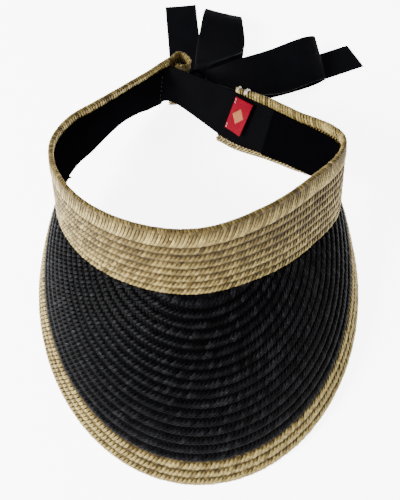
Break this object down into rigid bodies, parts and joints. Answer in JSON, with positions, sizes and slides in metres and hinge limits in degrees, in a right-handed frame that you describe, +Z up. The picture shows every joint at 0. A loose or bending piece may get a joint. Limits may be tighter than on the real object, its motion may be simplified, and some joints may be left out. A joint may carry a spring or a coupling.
{
  "type": "sun visor",
  "caption": "Open-crown sun visor: sewn straw braid headband and domed brim, grosgrain sweatband, elastic rear strap, tied ribbon bow and a woven label.",
  "frame": {"origin": "centre of the bounding box on the table that the visor lies on, brim tip, rear of the headband and bow on the surface", "axes": "+Z up from the table; -Y the way the brim points (the wearer's front); +X the wearer's right arm of the headband, on the right when seen from the brim side"},
  "size_m": [0.2367, 0.3686, 0.1043],
  "materials": {
    "natural_straw": "matt paper straw braid, natural beige, slanted strands with a bright beaded edge",
    "black_straw": "black paper straw braid with a slight sheen on the strands",
    "grosgrain": "black ribbed grosgrain band, matt",
    "elastic": "black knitted elastic webbing, matt",
    "ribbon": "black grosgrain ribbon, fine cross ribs, slight sheen",
    "label_red": "red woven damask label",
    "label_gold": "gold woven thread motif",
    "black_thread": "black sewing thread",
    "white_thread": "off-white sewing thread"
  },
  "bodies": {
    "headband_and_brim": {"band_binding": "natural_straw", "band_row_1": "natural_straw", "band_row_2": "natural_straw", "band_row_3": "natural_straw", "band_row_4": "natural_straw", "band_row_5": "natural_straw", "band_row_6": "natural_straw", "band_row_7": "natural_straw", "brim_row_1": "black_straw", "brim_row_2": "black_straw", "brim_row_3": "black_straw", "brim_row_4": "black_straw", "brim_row_5": "black_straw", "brim_row_6": "black_straw", "brim_row_7": "black_straw", "brim_row_8": "black_straw", "brim_row_9": "black_straw", "brim_row_10": "black_straw", "brim_row_11": "black_straw", "brim_row_12": "black_straw", "brim_row_13": "black_straw", "brim_row_14": "black_straw", "brim_row_15": "black_straw", "brim_row_16": "black_straw", "brim_row_17": "black_straw", "trim_row_1": "natural_straw", "trim_row_2": "natural_straw", "trim_row_3": "natural_straw", "left_end_tunnel": "natural_straw", "sweatband": "grosgrain", "rear_strap": "elastic", "strap_stitches": "black_thread", "bow_knot": "ribbon"},
    "right_arm": {"arm_binding": "natural_straw", "arm_row_1": "natural_straw", "arm_row_2": "natural_straw", "arm_row_3": "natural_straw", "arm_row_4": "natural_straw", "arm_row_5": "natural_straw", "arm_row_6": "natural_straw", "arm_row_7": "natural_straw", "arm_sweatband": "grosgrain", "end_tacks": "white_thread"},
    "label_flap": {"label": "label_red", "label_motif": "label_gold", "label_stitches": "white_thread"},
    "bow_left": {"bow_left_loop": "ribbon", "bow_left_tail": "ribbon"},
    "bow_right": {"bow_right_loop": "ribbon", "bow_right_tail": "ribbon"}
  },
  "joints": [
    {"name": "right_arm_opens", "type": "hinge", "parent": "headband_and_brim", "child": "right_arm", "pos_m": [0.06663, 0.00322, 0.07904], "axis": [0.1181, -0.3268, -0.9377], "range_deg": [0, 12], "stiffness_Nm_per_rad": 0.25, "deforming": ["rear_strap"]},
    {"name": "label_lifts", "type": "hinge", "parent": "right_arm", "child": "label_flap", "pos_m": [0.00753, 0.03918, 0.06217], "axis": [-0.2278, -0.224, -0.9476], "range_deg": [0, 60], "stiffness_Nm_per_rad": 0.0005},
    {"name": "bow_left_lifts", "type": "hinge", "parent": "headband_and_brim", "child": "bow_left", "pos_m": [-0.0174, 0.0787, 0.038], "axis": [0.9887, -0.1498, 0], "range_deg": [0, 25]},
    {"name": "bow_right_lifts", "type": "hinge", "parent": "headband_and_brim", "child": "bow_right", "pos_m": [-0.0074, 0.0747, 0.038], "axis": [0.423, -0.9061, 0], "range_deg": [0, 25]}
  ]
}
